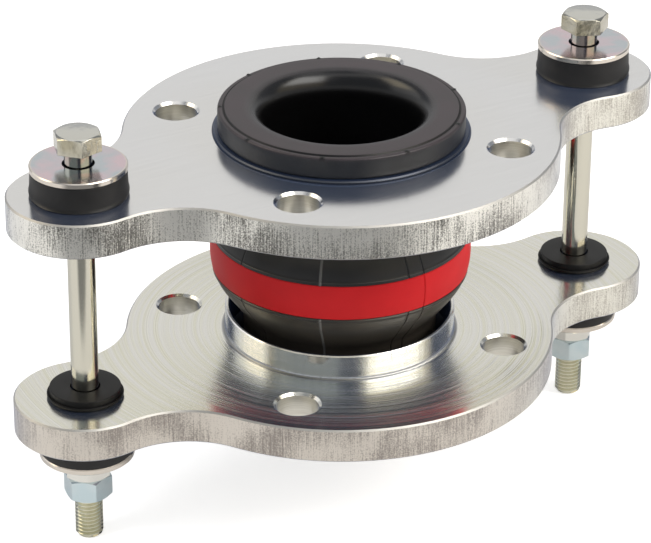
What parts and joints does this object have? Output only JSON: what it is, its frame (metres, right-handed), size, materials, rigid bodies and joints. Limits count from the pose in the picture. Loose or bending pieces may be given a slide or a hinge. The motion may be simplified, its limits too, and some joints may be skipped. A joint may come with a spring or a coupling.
{
  "type": "rubber expansion joint",
  "caption": "Flanged rubber expansion joint for pipes: a spherical bellows with a coloured band, eared steel flanges with collars, and tie bolts on rubber buffers.",
  "frame": {"origin": "centre of the lower flange's bolt circle, halfway through that flange's thickness", "axes": "+Z along the pipe axis from the lower flange to the upper one, +X through the ears and tie bolts"},
  "size_m": [0.307, 0.185, 0.1875],
  "materials": {
    "zinc_plate": "satin",
    "zinc_hardware": "satin",
    "moulded_rubber": "satin",
    "buffer_rubber": "satin",
    "red_rubber": "satin"
  },
  "bodies": {
    "lower_end": {"lower_flange": "zinc_plate", "rubber_bellows": "moulded_rubber", "red_band": "red_rubber", "tie_bolt_left": "zinc_hardware", "tie_bolt_right": "zinc_hardware", "lower_grommet_left": "buffer_rubber", "lower_grommet_right": "buffer_rubber", "lower_buffer_left": "buffer_rubber", "lower_buffer_right": "buffer_rubber", "lower_washer_left": "zinc_hardware", "lower_washer_right": "zinc_hardware", "nut_left": "zinc_hardware", "nut_right": "zinc_hardware", "lock_nut_left": "zinc_hardware", "lock_nut_right": "zinc_hardware"},
    "upper_end": {"upper_flange": "zinc_plate", "upper_washer_left": "zinc_hardware", "upper_washer_right": "zinc_hardware", "upper_buffer_left": "buffer_rubber", "upper_buffer_right": "buffer_rubber", "upper_grommet_left": "buffer_rubber", "upper_grommet_right": "buffer_rubber"}
  },
  "joints": [
    {"name": "axial_travel", "type": "slide", "parent": "lower_end", "child": "upper_end", "axis": [0, 0, 1], "range_m": [-0.013, 0.006], "stiffness_N_per_m": 80000, "deforming": ["rubber_bellows", "red_band"]}
  ]
}
